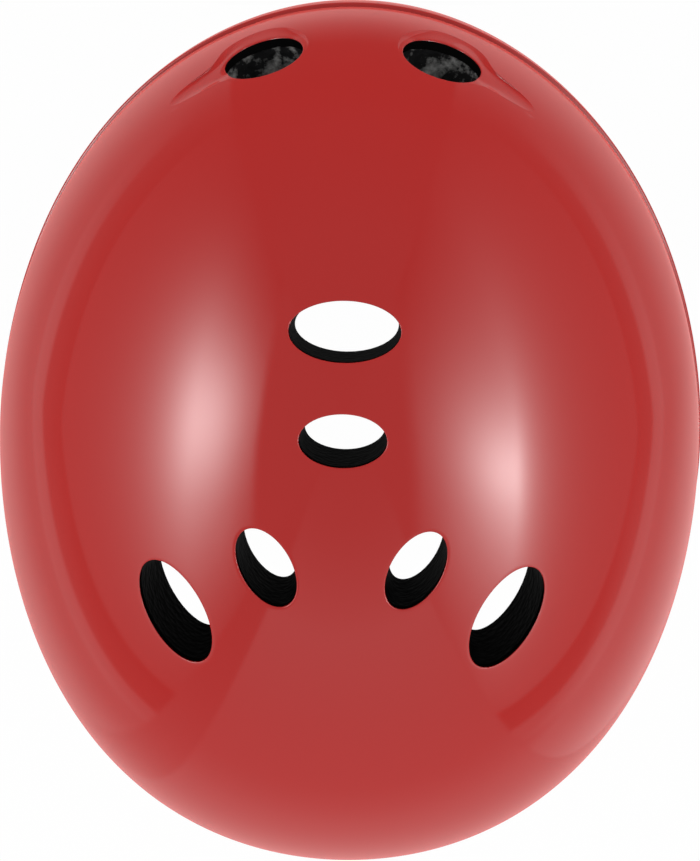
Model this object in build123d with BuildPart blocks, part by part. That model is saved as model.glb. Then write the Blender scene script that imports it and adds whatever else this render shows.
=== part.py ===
from build123d import *
from math import cos, hypot, radians, sin, tan
import os

os.makedirs("parts", exist_ok=True)

# Millimetres. +Z up, front of the helmet towards -Y, the wearer's left towards +X.
# The origin is the middle of the head opening at the helmet's widest level.

# Dome: an egg-shaped plan, carried up to the crown and tucked in a little below the widest level
half_width = 112.0
half_length = 137.0
crown_height = 110.0
tuck_reach = 150.0
profile_exponent = 2.25
rear_exponent = 2.13
front_handle_share = 0.5523
rear_handle_share = 0.593
level_rises_deg = (14, 28, 42, 56, 68, 78, 85)

# Rim, as stations along the side view, and the band above it
front_rim = -28.0
temple_rim = -33.0
ear_rim = -24.0
nape_rim = -56.0
rim_end_share = 1.1
temple_share = -0.45
ear_share = 0.03
nape_share = 0.67
band_height = 18.0
band_proud = 1.2
crease_width = 1.6
crease_depth = 0.8
cut_overrun = 10.0
skirt_depth = cut_overrun - nape_rim

# Walls and running gaps
shell_wall = 2.6
shell_gap = 0.3
seat_gap = 0.3
liner_side = 22.0
liner_end = 24.0
liner_crown = 28.0
liner_lift = 1.0


def spread(z, top):
    """Share of the full plan size that the dome has at height z."""
    reach = top if z > 0 else tuck_reach
    return (1 - abs(z / reach) ** profile_exponent) ** (1 / profile_exponent)


def dome(side_inset, end_inset, crown_inset):
    """Closed solid under the outer surface, drawn in at the sides, the ends and the crown."""
    top = crown_height - crown_inset
    heights = [-skirt_depth, -skirt_depth / 2, 0]
    heights += [top * sin(radians(rise)) for rise in level_rises_deg]
    with BuildPart() as body:
        levels = []
        for z in heights:
            a = (half_width - side_inset) * spread(z, top)
            b = (half_length - end_inset) * spread(z, top)
            f, r = front_handle_share, rear_handle_share
            with BuildSketch(Plane.XY.offset(z)) as level:
                with BuildLine():
                    Bezier((a, 0), (a, r * b), (r * a, b), (0, b))
                    Bezier((0, b), (-r * a, b), (-a, r * b), (-a, 0))
                    Bezier((-a, 0), (-a, -f * b), (-f * a, -b), (0, -b))
                    Bezier((0, -b), (f * a, -b), (a, -f * b), (a, 0))
                make_face()
            levels.append(level.sketch)
        loft(sections=levels + [Vertex(0, 0, top)])
    return body.part


def even_dome(inset):
    """Dome drawn in by the same amount everywhere."""
    return dome(inset, inset, inset)


def cavity_dome(lift):
    """Dome inside the liner, drawn in by a further lift from its inner face."""
    outside = shell_wall + shell_gap + lift
    return dome(outside + liner_side, outside + liner_end, outside + liner_crown)


def side_x(y, z, inset):
    """Distance from the middle plane to the dome's side at a place in the side view."""
    exponent = 2 if y < 0 else rear_exponent
    s = spread(z, crown_height - inset)
    a = (half_width - inset) * s
    b = (half_length - inset) * s
    return a * (1 - abs(y / b) ** exponent) ** (1 / exponent)


rim_stations = [
    (-rim_end_share * half_length, front_rim),
    (temple_share * half_length, temple_rim),
    (ear_share * half_length, ear_rim),
    (nape_share * half_length, nape_rim),
    (rim_end_share * half_length, nape_rim),
]


def rim_height(y):
    """Height of the rim at a station along the helmet: level at each station, smooth between."""
    for (y0, z0), (y1, z1) in zip(rim_stations, rim_stations[1:]):
        if y <= y1:
            t = (y - y0) / (y1 - y0)
            return z0 + (z1 - z0) * (3 * t**2 - 2 * t**3)
    return nape_rim


def below_rim(lift):
    """Everything under the rim line raised by a lift, as a prism across the helmet."""
    with BuildPart() as prism:
        with BuildSketch(Plane.YZ):
            with BuildLine():
                for (y0, z0), (y1, z1) in zip(rim_stations, rim_stations[1:]):
                    third = (y1 - y0) / 3
                    Bezier(
                        (y0, z0 + lift), (y0 + third, z0 + lift), (y1 - third, z1 + lift), (y1, z1 + lift)
                    )
                Polyline(
                    (rim_stations[-1][0], nape_rim + lift),
                    (rim_stations[-1][0], -skirt_depth - cut_overrun),
                    (rim_stations[0][0], -skirt_depth - cut_overrun),
                    (rim_stations[0][0], front_rim + lift),
                )
            make_face()
        extrude(amount=half_width + cut_overrun, both=True)
    return prism.part


# Vents: place on the dome, lean of the axis from upright, half sizes and turn of the oval
vent_draft_deg = 1.9
vent_reach = 46.0
front_vent_x = 27.8
front_vent_z = 38.3
front_vent_rise_deg = 22.0
front_vent_yaw_deg = 14.0
front_vent_half_long = 12.7
front_vent_half_short = 11.4
low_vent_z = 16.0
low_vent_rise_deg = 8.0
low_vent_half_long = 13.0
low_vent_half_short = 7.5
low_vent_x = 46.0
low_vent_yaw_deg = 22.0
low_vent_turn_deg = -14.0
top_vents = {
    "centre_front": dict(x=0.0, y=-53.3, back=-6.6, out=0.0, half=(16.9, 9.2), turn=0.0),
    "centre_rear": dict(x=0.0, y=-21.0, back=-3.4, out=0.0, half=(13.3, 8.1), turn=0.0),
    "rear_inner": dict(x=22.6, y=18.7, back=1.4, out=0.3, half=(13.2, 7.8), turn=118.7),
    "rear_outer": dict(x=50.4, y=35.2, back=4.6, out=5.4, half=(17.4, 9.3), turn=118.2),
}


def oval_cutter(origin, axis, half_long, half_short, turn):
    """Tapered oval hole along an axis that points out of the dome."""
    slope = tan(radians(vent_draft_deg))
    mouth = Plane(origin=origin, x_dir=Vector(1, 0, 0) - axis * axis.X, z_dir=axis)
    with BuildPart() as cutter:
        with BuildSketch(mouth.offset(cut_overrun)):
            Ellipse(half_long + cut_overrun * slope, half_short + cut_overrun * slope, rotation=turn)
        with BuildSketch(mouth.offset(-vent_reach)):
            Ellipse(half_long - vent_reach * slope, half_short - vent_reach * slope, rotation=turn)
        loft()
    return cutter.part


def both_sides(part):
    """A part and its mirror image on the other side of the helmet."""
    return [part, mirror(part, about=Plane.YZ)]


def end_y(x, z):
    """Distance from the middle to the dome's front or back face."""
    s = spread(z, crown_height)
    return half_length * s * (1 - (x / (half_width * s)) ** 2) ** 0.5


vent_cutters = []
for vent in top_vents.values():
    plan = hypot(vent["x"] / half_width, vent["y"] / half_length)
    height = crown_height * (1 - plan**profile_exponent) ** (1 / profile_exponent)
    axis = Vector(tan(radians(vent["out"])), tan(radians(vent["back"])), 1).normalized()
    cutter = oval_cutter((vent["x"], vent["y"], height), axis, *vent["half"], vent["turn"])
    vent_cutters += [cutter] if vent["x"] == 0 else both_sides(cutter)

front_axis = Vector(
    sin(radians(front_vent_yaw_deg)) * cos(radians(front_vent_rise_deg)),
    -cos(radians(front_vent_yaw_deg)) * cos(radians(front_vent_rise_deg)),
    sin(radians(front_vent_rise_deg)),
)
front_mouth = (front_vent_x, -end_y(front_vent_x, front_vent_z), front_vent_z)
cutter = oval_cutter(front_mouth, front_axis, front_vent_half_long, front_vent_half_short, 0)
vent_cutters += both_sides(cutter)

for vent_x, yaw, turn in [(0, 0, 0), (low_vent_x, low_vent_yaw_deg, low_vent_turn_deg)]:
    low_axis = Vector(
        sin(radians(yaw)) * cos(radians(low_vent_rise_deg)),
        cos(radians(yaw)) * cos(radians(low_vent_rise_deg)),
        sin(radians(low_vent_rise_deg)),
    )
    low_mouth = (vent_x, end_y(vent_x, low_vent_z), low_vent_z)
    cutter = oval_cutter(low_mouth, low_axis, low_vent_half_long, low_vent_half_short, turn)
    vent_cutters += [cutter] if vent_x == 0 else both_sides(cutter)

# Straps: flat webbing that leaves the rim before and behind the ear and meets below it
webbing_width = 15.0
webbing_thick = 1.4
layer_gap = 0.3
front_exit_y = -47.0
rear_exit_y = 52.0
fold_drop = 2.4
exit_edge_share = 0.55
meeting_y = 6.0
meeting_z = -112.0
lower_strap_length = 80.0
rear_overlap = 30.0
rivet_along = 14.0
stub_length = 21.5

front_fold_z = rim_height(front_exit_y - exit_edge_share * webbing_width) - fold_drop
rear_fold_z = rim_height(rear_exit_y + exit_edge_share * webbing_width) - fold_drop
fold_slope = (rear_fold_z - front_fold_z) / (rear_exit_y - front_exit_y)
stub_inset = shell_wall + shell_gap
stub_mid = stub_inset + webbing_thick / 2
front_layer_x = side_x(front_exit_y, front_fold_z, stub_mid)
rear_layer_x = front_layer_x - webbing_thick - layer_gap
fold_gap = webbing_thick / 2 + layer_gap

# Rivets, flush in the band, with a washer behind the webbing
rivet_head_radius = 5.5
rivet_head_thick = 1.6
rivet_shank_radius = 2.5
rivet_tail_radius = 3.9
rivet_tail_thick = 1.2
rivet_play = 0.15
washer_play = 0.4
pocket_play = 1.2
washer_radius = 5.0
washer_thick = 1.0
pocket_margin = 1.0
slope_step = 1.0


def fold_z(y):
    """Height of the fold line, about which one side's straps swing."""
    return front_fold_z + fold_slope * (y - front_exit_y)


def leg_places(exit_y):
    """Exit point of one strap leg and the unit direction down to the meeting point."""
    exit_point = Vector(exit_y, fold_z(exit_y))
    meeting = Vector(meeting_y, meeting_z)
    return exit_point, (meeting - exit_point).normalized()


def on_fold(point, direction, lift):
    """Where a line in the side view meets the fold line raised by a lift."""
    rise = fold_z(point.X) + lift - point.Y
    return point + direction * (rise / (direction.Y - fold_slope * direction.X))


def stub_outline(exit_y, margin, lift):
    """Side-view outline of a riveted strap end, from above the fold line to past the rivet."""
    exit_point, down = leg_places(exit_y)
    across = Vector(-down.Y, down.X) * (webbing_width / 2 + margin)
    head = exit_point - down * (stub_length + margin)
    foot = [on_fold(exit_point + across, down, lift), on_fold(exit_point - across, down, lift)]
    return [foot[0], head + across, head - across, foot[1]]


def rivet_plane(exit_y):
    """Plane on the band's outer face at a rivet, its normal pointing out of the helmet."""
    exit_point, down = leg_places(exit_y)
    place = exit_point - down * rivet_along
    y, z = place.X, place.Y
    step = slope_step
    run_y = (side_x(y + step, z, -band_proud) - side_x(y - step, z, -band_proud)) / (2 * step)
    run_z = (side_x(y, z + step, -band_proud) - side_x(y, z - step, -band_proud)) / (2 * step)
    return Plane(origin=(side_x(y, z, -band_proud), y, z), z_dir=(1, -run_y, -run_z))


rivet_planes = [rivet_plane(front_exit_y), rivet_plane(rear_exit_y)]
washer_depth = band_proud + stub_inset + webbing_thick + washer_play
rivet_depth = washer_depth + washer_thick + rivet_play

with BuildPart() as left_rivets:
    for plane in rivet_planes:
        with BuildSketch(plane.offset(-rivet_head_thick)):
            Circle(rivet_head_radius)
        extrude(amount=rivet_head_thick)
        with BuildSketch(plane):
            Circle(rivet_shank_radius)
        extrude(amount=-rivet_depth)
        with BuildSketch(plane.offset(-rivet_depth)):
            Circle(rivet_tail_radius)
        extrude(amount=-rivet_tail_thick)

with BuildPart() as left_washers:
    for plane in rivet_planes:
        with BuildSketch(plane.offset(-washer_depth)):
            Circle(washer_radius)
            Circle(rivet_shank_radius + rivet_play, mode=Mode.SUBTRACT)
        extrude(amount=-washer_thick)

with BuildPart() as rivet_seats:
    for plane in rivet_planes:
        with BuildSketch(plane.offset(cut_overrun)):
            Circle(rivet_head_radius + rivet_play)
        extrude(amount=-cut_overrun - rivet_head_thick - rivet_play)
        with BuildSketch(plane):
            Circle(rivet_shank_radius + rivet_play)
        extrude(amount=-rivet_depth)

with BuildPart() as stub_pockets:
    for exit_y in (front_exit_y, rear_exit_y):
        outline = stub_outline(exit_y, pocket_margin, -cut_overrun)
        with BuildSketch(Plane.YZ):
            Polygon(*[(p.X, p.Y) for p in outline], align=None)
        extrude(amount=half_width)

under_rim = below_rim(0)
under_crease = below_rim(band_height)
under_groove = below_rim(band_height + crease_width)
shell_form = even_dome(0)
band_form = even_dome(-band_proud)
groove_form = even_dome(crease_depth)
shell_inner_form = even_dome(shell_wall)
liner_form = even_dome(shell_wall + shell_gap)
cavity_form = cavity_dome(0)

# Outer shell: glossy moulded dome with a band that stands proud below a narrow crease
with BuildPart() as shell_band:
    add(band_form)
    add(under_rim, mode=Mode.SUBTRACT)
    add(under_crease, mode=Mode.INTERSECT)

with BuildPart() as crease_groove:
    add(band_form)
    add(groove_form, mode=Mode.SUBTRACT)
    add(under_groove, mode=Mode.INTERSECT)
    add(under_crease, mode=Mode.SUBTRACT)

with BuildPart() as outer_shell:
    add(shell_form)
    add(under_crease, mode=Mode.SUBTRACT)
    add(crease_groove.part, mode=Mode.SUBTRACT)
    add(shell_band.part)
    add(shell_inner_form, mode=Mode.SUBTRACT)
    for cutter in vent_cutters:
        add(cutter, mode=Mode.SUBTRACT)
    for seats in both_sides(rivet_seats.part):
        add(seats, mode=Mode.SUBTRACT)

# Liner: foam body under the shell, pocketed for the riveted strap ends
pocket_floor = rivet_depth - band_proud + rivet_tail_thick + pocket_play
pocket_form = even_dome(pocket_floor)
with BuildPart() as pocket_cut:
    add(stub_pockets.part)
    add(pocket_form, mode=Mode.SUBTRACT)

with BuildPart() as eps_liner:
    add(liner_form)
    add(cavity_form, mode=Mode.SUBTRACT)
    add(below_rim(liner_lift), mode=Mode.SUBTRACT)
    for cutter in vent_cutters:
        add(cutter, mode=Mode.SUBTRACT)
    for pockets in both_sides(pocket_cut.part):
        add(pockets, mode=Mode.SUBTRACT)

# Comfort pads: fabric-covered foam on hook patches, each following the liner's inner face
patch_thick = 1.0
patch_radius = 9.0
pad_thick = 8.0
pad_lift = seat_gap + patch_thick + seat_gap
brow_size = (132.0, 30.0)
brow_z = -8.0
nape_size = (104.0, 26.0)
nape_z = -35.0
side_size = (62.0, 30.0)
side_y = -6.0
side_z = -3.0
crown_size = (30.0, 60.0)
crown_x = 41.0
crown_y = -28.0
rear_crown_size = (48.0, 30.0)
rear_crown_y = 62.0
corner_share = 0.42
patch_share = 0.3

pad_outer_form = cavity_dome(pad_lift)
pad_inner_form = cavity_dome(pad_lift + pad_thick)
facing_front = Plane(origin=(0, 0, 0), x_dir=(1, 0, 0), z_dir=(0, -1, 0))
facing_back = Plane(origin=(0, 0, 0), x_dir=(-1, 0, 0), z_dir=(0, 1, 0))


def pad(plane, centre, size):
    """Pad whose rounded outline is cast from a plane onto the liner's inner face."""
    with BuildPart() as body:
        with BuildSketch(plane):
            with Locations(centre):
                RectangleRounded(*size, corner_share * min(size))
        extrude(amount=half_length)
        add(pad_outer_form, mode=Mode.INTERSECT)
        add(pad_inner_form, mode=Mode.SUBTRACT)
    return body.part


def patch_posts(plane, centre, size):
    """Two posts that mark the hook patches of one pad."""
    along = max(size) * patch_share
    steps = [(-along, 0), (along, 0)] if size[0] > size[1] else [(0, -along), (0, along)]
    with BuildPart() as posts:
        with BuildSketch(plane):
            with Locations(*[(centre[0] + dx, centre[1] + dy) for dx, dy in steps]):
                Circle(patch_radius)
        extrude(amount=half_length)
    return posts.part


pad_places = {
    "brow_pad": (facing_front, (0, brow_z), brow_size),
    "nape_pad": (facing_back, (0, nape_z), nape_size),
    "left_side_pad": (Plane.YZ, (side_y, side_z), side_size),
    "left_crown_pad": (Plane.XY, (crown_x, crown_y), crown_size),
    "rear_crown_pad": (Plane.XY, (0, rear_crown_y), rear_crown_size),
}
pads = {name: pad(*place) for name, place in pad_places.items()}
posts = {name: patch_posts(*place) for name, place in pad_places.items()}

with BuildPart() as patch_layer:
    add(cavity_dome(seat_gap))
    add(cavity_dome(seat_gap + patch_thick), mode=Mode.SUBTRACT)

# One side's straps; the other side mirrors them
bar_radius = 1.6
loop_gap = 0.3
loop_mid = bar_radius + loop_gap + webbing_thick / 2
sewn_return = 30.0
free_tail = 42.0
return_rise = 12.0

bar_x = front_layer_x - loop_mid
bar_z = meeting_z - lower_strap_length
return_x = rear_layer_x


def strap_leg(exit_y, layer_x, lower_length):
    """Flat strip from the fold line to the meeting point and on down, in one layer."""
    exit_point, down = leg_places(exit_y)
    meeting = Vector(meeting_y, meeting_z)
    across = Vector(-down.Y, down.X) * (webbing_width / 2)
    top = [on_fold(exit_point + across, down, 0), on_fold(exit_point - across, down, 0)]
    corners = [top[0], meeting + across, meeting - across, top[1]]
    edge_middle = (top[0] + top[1]) / 2
    edge_run = top[1] - top[0]
    edge_dir = (0, edge_run.X, edge_run.Y)
    edge_plane = Plane(origin=(layer_x, edge_middle.X, edge_middle.Y), x_dir=(1, 0, 0), z_dir=edge_dir)
    with BuildPart() as strip:
        with BuildSketch(Plane.YZ.offset(layer_x - webbing_thick / 2)):
            Polygon(*[(p.X, p.Y) for p in corners], align=None)
            with Locations((meeting_y, meeting_z)):
                Circle(webbing_width / 2)
            with Locations((meeting_y, meeting_z - lower_length / 2)):
                Rectangle(webbing_width, lower_length)
        extrude(amount=webbing_thick)
        with BuildSketch(edge_plane):
            Circle(webbing_thick / 2)
        extrude(amount=edge_run.length / 2, both=True)
    return strip.part


def front_strap(return_length):
    """Front strap, whose lower end loops round the buckle's bar and comes back up."""
    leg = strap_leg(front_exit_y, front_layer_x, lower_strap_length)
    half = webbing_thick / 2
    side_plane = Plane(origin=(0, meeting_y, 0), x_dir=(1, 0, 0), z_dir=(0, -1, 0))
    inner, outer = loop_mid - half, loop_mid + half
    with BuildPart() as strap:
        add(leg)
        with BuildSketch(side_plane):
            with BuildLine():
                ThreePointArc((bar_x + outer, bar_z), (bar_x, bar_z - outer), (bar_x - outer, bar_z))
                Polyline(
                    (bar_x - outer, bar_z),
                    (return_x - half, bar_z + return_rise),
                    (return_x - half, bar_z + return_length),
                    (return_x + half, bar_z + return_length),
                    (return_x + half, bar_z + return_rise),
                    (bar_x - inner, bar_z),
                )
                ThreePointArc((bar_x - inner, bar_z), (bar_x, bar_z - inner), (bar_x + inner, bar_z))
                Line((bar_x + inner, bar_z), (bar_x + outer, bar_z))
            make_face()
        extrude(amount=webbing_width / 2, both=True)
    return strap.part


def strap_stub(exit_y):
    """Riveted strap end between shell and liner."""
    outline = stub_outline(exit_y, 0, fold_gap)
    with BuildPart() as stub:
        with BuildSketch(Plane.YZ):
            Polygon(*[(p.X, p.Y) for p in outline], align=None)
        extrude(amount=half_width)
        add(stub_outer_form, mode=Mode.INTERSECT)
        add(stub_inner_form, mode=Mode.SUBTRACT)
        add(stub_holes.part, mode=Mode.SUBTRACT)
    return stub.part


stub_outer_form = even_dome(stub_inset)
stub_inner_form = even_dome(stub_inset + webbing_thick)
with BuildPart() as stub_holes:
    for plane in rivet_planes:
        with BuildSketch(plane):
            Circle(rivet_shank_radius + rivet_play)
        extrude(amount=-rivet_depth)

left_front_strap = front_strap(sewn_return)
right_front_strap = mirror(front_strap(free_tail), about=Plane.YZ)
left_rear_strap = strap_leg(rear_exit_y, rear_layer_x, rear_overlap)
left_front_stub = strap_stub(front_exit_y)
left_rear_stub = strap_stub(rear_exit_y)

# Divider: flat plastic sleeve that gathers the two legs below the ear
divider_above = 13.0
divider_below = 11.0
divider_wall = 1.7
divider_side = 2.4
divider_play = 0.6
divider_round = 1.2

leg_lean = [abs(leg_places(y)[1].X / leg_places(y)[1].Y) for y in (front_exit_y, rear_exit_y)]
leg_half = [webbing_width / 2 * hypot(1, lean) for lean in leg_lean]


def divider_outline(margin, grow):
    """Side-view outline of the sleeve round the two legs, wide at the top."""
    top = meeting_z + divider_above + grow
    foot = meeting_z - divider_below - grow
    half = webbing_width / 2 + margin
    rise = divider_above + grow
    tops = [leg + lean * rise + margin for leg, lean in zip(leg_half, leg_lean)]
    mids = [leg + margin for leg in leg_half]
    return [
        (meeting_y - tops[0], top),
        (meeting_y - mids[0], meeting_z),
        (meeting_y - half, foot),
        (meeting_y + half, foot),
        (meeting_y + mids[1], meeting_z),
        (meeting_y + tops[1], top),
    ]


sleeve_inner = rear_layer_x - webbing_thick / 2 - layer_gap
sleeve_outer = front_layer_x + webbing_thick / 2 + layer_gap

with BuildPart() as left_divider:
    with BuildSketch(Plane.YZ.offset(sleeve_inner - divider_wall)):
        Polygon(*divider_outline(divider_play + divider_side, 0), align=None)
        fillet(vertices(), divider_side)
    extrude(amount=sleeve_outer - sleeve_inner + 2 * divider_wall)
    fillet(edges().filter_by(Axis.X, reverse=True), divider_round)
    with BuildSketch(Plane.YZ.offset(sleeve_inner)):
        Polygon(*divider_outline(divider_play, cut_overrun), align=None)
    extrude(amount=sleeve_outer - sleeve_inner, mode=Mode.SUBTRACT)

# Side-release buckle: both halves hang from a bar in the webbing's loop
buckle_width = 25.0
buckle_thick = 9.0
arm_thick = 4.0
arm_gap = 0.5
neck_drop = 6.0
socket_depth = 22.0
socket_width = 19.4
socket_height = 5.6
female_length = 36.0
window_top = 11.0
window_height = 9.0
buckle_round = 1.4
male_width = 22.0
male_thick = 6.0
male_base = 9.0
flange_thick = 2.4
tongue_width = 4.4
tongue_thick = 3.0
tongue_length = 17.0
prong_y = 6.9
prong_width = 2.6
prong_thick = 4.4
prong_length = 19.0
prong_root_radius = 1.8
prong_head_proud = 2.6
prong_head_length = 6.0
prong_head_start = 9.0

loop_plane = Plane(origin=(bar_x, meeting_y, bar_z), x_dir=(0, 1, 0), z_dir=(1, 0, 0))
bar_plane = Plane(origin=(bar_x, meeting_y, bar_z), x_dir=(1, 0, 0), z_dir=(0, -1, 0))
arm_inner = webbing_width / 2 + arm_gap


def bar_frame(width):
    """Bar in the webbing's loop, with the two arms that carry it down to the neck."""
    arm_width = width / 2 - arm_inner
    arm_middle = (width / 2 + arm_inner) / 2
    with BuildPart() as frame:
        with BuildSketch(loop_plane):
            with Locations((-arm_middle, (bar_radius - neck_drop) / 2), (arm_middle, (bar_radius - neck_drop) / 2)):
                Rectangle(arm_width, neck_drop + bar_radius)
        extrude(amount=arm_thick / 2, both=True)
        with BuildSketch(bar_plane):
            Circle(bar_radius)
        extrude(amount=arm_middle, both=True)
    return frame.part


female_frame = bar_frame(buckle_width)
male_frame = bar_frame(male_width)

with BuildPart() as female_buckle:
    with BuildSketch(loop_plane):
        with Locations((0, -(neck_drop + female_length) / 2)):
            RectangleRounded(buckle_width, female_length - neck_drop, 2 * buckle_round)
    extrude(amount=buckle_thick / 2, both=True)
    fillet(edges().filter_by(Axis.X, reverse=True), buckle_round)
    with BuildSketch(loop_plane):
        with Locations((0, -female_length + (socket_depth - cut_overrun) / 2)):
            Rectangle(socket_width, socket_depth + cut_overrun)
        with Locations((0, -neck_drop - window_top - window_height / 2)):
            Rectangle(buckle_width + cut_overrun, window_height)
    extrude(amount=socket_height / 2, both=True, mode=Mode.SUBTRACT)
    add(female_frame)

male_foot = neck_drop + male_base
root_z = -male_foot - prong_root_radius / 2

with BuildPart() as male_buckle:
    with BuildSketch(loop_plane):
        with Locations((0, -(neck_drop + male_foot) / 2)):
            RectangleRounded(male_width, male_base, buckle_round)
    extrude(amount=male_thick / 2, both=True)
    with BuildSketch(loop_plane):
        with Locations((0, -male_foot + flange_thick / 2)):
            RectangleRounded(buckle_width, flange_thick, flange_thick / 3)
    extrude(amount=buckle_thick / 2, both=True)
    with BuildSketch(loop_plane):
        with Locations((prong_y, root_z), (-prong_y, root_z)):
            Circle(prong_root_radius + seat_gap)
    extrude(amount=buckle_thick, both=True, mode=Mode.SUBTRACT)
    with BuildSketch(loop_plane):
        with Locations((0, -male_foot - tongue_length / 2)):
            RectangleRounded(tongue_width, tongue_length + flange_thick, tongue_width / 3)
    extrude(amount=tongue_thick / 2, both=True)
    add(male_frame)

with BuildPart() as male_prong:
    with BuildSketch(loop_plane):
        with Locations((prong_y, root_z)):
            Circle(prong_root_radius)
        with BuildLine():
            Polyline(
                (prong_y - prong_width / 2, root_z),
                (prong_y + prong_width / 2, root_z),
                (prong_y + prong_width / 2, root_z - prong_head_start),
                (prong_y + prong_width / 2 + prong_head_proud, root_z - prong_head_start - prong_head_proud),
                (prong_y + prong_width / 2 + prong_head_proud, root_z - prong_head_start - prong_head_length),
                (prong_y + prong_width / 4, root_z - prong_length),
                (prong_y - prong_width / 2, root_z - prong_length),
                close=True,
            )
        make_face()
    extrude(amount=prong_thick / 2, both=True)

# Keeper: rubber ring round the right strap and its free tail
keeper_wall = 1.4
keeper_height = 5.0
keeper_play = 0.3
keeper_along = 25.0
keeper_z = bar_z + keeper_along
keeper_depth = front_layer_x - return_x + webbing_thick + 2 * keeper_play

with BuildPart() as left_keeper:
    with BuildSketch(Plane.XY.offset(keeper_z - keeper_height / 2)):
        with Locations(((front_layer_x + return_x) / 2, meeting_y)):
            RectangleRounded(
                keeper_depth + 2 * keeper_wall, webbing_width + 2 * (keeper_play + keeper_wall), keeper_wall
            )
            Rectangle(keeper_depth, webbing_width + 2 * keeper_play, mode=Mode.SUBTRACT)
    extrude(amount=keeper_height)


def swap_side(part):
    """The same piece on the wearer's right."""
    return mirror(part, about=Plane.YZ)


with BuildPart() as strap_rivets:
    for rivets in both_sides(left_rivets.part):
        add(rivets)

with BuildPart() as rivet_washers:
    for washers in both_sides(left_washers.part):
        add(washers)

with BuildPart() as hook_patches:
    for name, post in posts.items():
        add(post)
        if name.startswith("left"):
            add(swap_side(post))
    add(patch_layer.part, mode=Mode.INTERSECT)

pieces = {
    "outer_shell": outer_shell.part,
    "eps_liner": eps_liner.part,
    "pad_hook_patches": hook_patches.part,
    "strap_rivets": strap_rivets.part,
    "rivet_washers": rivet_washers.part,
    "left_front_strap_end": left_front_stub,
    "left_rear_strap_end": left_rear_stub,
    "right_front_strap_end": swap_side(left_front_stub),
    "right_rear_strap_end": swap_side(left_rear_stub),
    "left_front_strap": left_front_strap,
    "left_rear_strap": left_rear_strap,
    "right_front_strap": right_front_strap,
    "right_rear_strap": swap_side(left_rear_strap),
    "left_strap_divider": left_divider.part,
    "right_strap_divider": swap_side(left_divider.part),
    "female_buckle": female_buckle.part,
    "male_buckle": swap_side(male_buckle.part),
    "front_prong": swap_side(mirror(male_prong.part, about=Plane.XZ.offset(-meeting_y))),
    "rear_prong": swap_side(male_prong.part),
    "strap_keeper": swap_side(left_keeper.part),
}
for name, body in pads.items():
    pieces[name] = body
    if name.startswith("left"):
        pieces[name.replace("left", "right")] = swap_side(body)

for name, body in pieces.items():
    body.label = name
    export_step(body, f"parts/{name}.step")

print("fold line", front_layer_x, rear_layer_x, front_fold_z, rear_fold_z, "bar", bar_x, meeting_y, bar_z)
print("prong root z", bar_z + root_z, "prong y", meeting_y + prong_y, "keeper", keeper_z)
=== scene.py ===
from math import pi, radians

import bmesh
import bpy
import numpy as np
from mathutils import Matrix, Vector
from mathutils.geometry import delaunay_2d_cdt


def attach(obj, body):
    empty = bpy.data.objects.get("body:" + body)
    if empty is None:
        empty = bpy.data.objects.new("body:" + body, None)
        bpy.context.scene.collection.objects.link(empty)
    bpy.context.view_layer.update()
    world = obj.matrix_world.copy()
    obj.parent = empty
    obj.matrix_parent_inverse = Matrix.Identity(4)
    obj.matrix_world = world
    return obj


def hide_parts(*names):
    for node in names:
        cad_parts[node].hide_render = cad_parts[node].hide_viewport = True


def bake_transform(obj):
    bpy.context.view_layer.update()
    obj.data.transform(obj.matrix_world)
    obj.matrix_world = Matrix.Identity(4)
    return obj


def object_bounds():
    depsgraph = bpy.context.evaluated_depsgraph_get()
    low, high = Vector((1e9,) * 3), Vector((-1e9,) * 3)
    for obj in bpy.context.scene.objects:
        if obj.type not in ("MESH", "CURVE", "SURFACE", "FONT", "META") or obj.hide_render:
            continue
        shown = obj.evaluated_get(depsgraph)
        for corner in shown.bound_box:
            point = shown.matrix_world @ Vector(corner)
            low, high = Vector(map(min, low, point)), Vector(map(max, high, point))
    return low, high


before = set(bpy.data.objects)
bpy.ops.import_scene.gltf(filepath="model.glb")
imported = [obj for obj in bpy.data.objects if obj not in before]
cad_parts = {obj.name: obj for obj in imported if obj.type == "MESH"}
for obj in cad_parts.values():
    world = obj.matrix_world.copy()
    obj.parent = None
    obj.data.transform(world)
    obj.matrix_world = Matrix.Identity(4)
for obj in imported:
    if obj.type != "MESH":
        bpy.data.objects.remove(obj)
cad_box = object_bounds()

# Outer shell: one moulded dome of glossy red ABS, 2.6 mm thick. A narrow crease runs round it
# above a lower band, the vents are punched with a small rounded lip, and each front vent sits
# at the bottom of a shallow scoop. Everything else hangs on it.
half_width = 0.112
half_length = 0.137
crown_height = 0.110
tuck_reach = 0.150
roundness = 2.25
rear_swell = 0.0214
shell_wall = 0.0026
rim_stations = [(-0.1507, -0.028), (-0.06165, -0.033), (0.00411, -0.024), (0.09179, -0.056), (0.1507, -0.056)]
band_height = 0.018
vent_slope = np.tan(radians(1.9))


def dome_point(turn, fall, side=0.0, end=0.0, crown=0.0):
    """Point on the dome by its turn round the crown and its fall from it, drawn in by three insets."""
    turn, fall = np.broadcast_arrays(np.asarray(turn, float), np.asarray(fall, float))
    upper = np.clip(fall, 0, pi / 2)
    lower = np.clip((fall - pi / 2) * crown_height / tuck_reach, 0, pi / 2)
    part = np.where(fall < pi / 2, upper, lower)
    reach = (np.abs(np.sin(part)) ** roundness + np.abs(np.cos(part)) ** roundness) ** (-1 / roundness)
    across = np.where(fall < pi / 2, reach * np.sin(part), reach * np.cos(part))
    rise, tuck = (crown_height - crown) * np.cos(part), -tuck_reach * np.sin(part)
    up = reach * np.where(fall < pi / 2, rise, tuck)
    swell = 1 + np.where(np.sin(turn) > 0, rear_swell * np.sin(2 * turn) ** 2, 0)
    x = (half_width - side) * across * swell * np.cos(turn)
    y = (half_length - end) * across * swell * np.sin(turn)
    return np.stack([x, y, up], -1)


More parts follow.
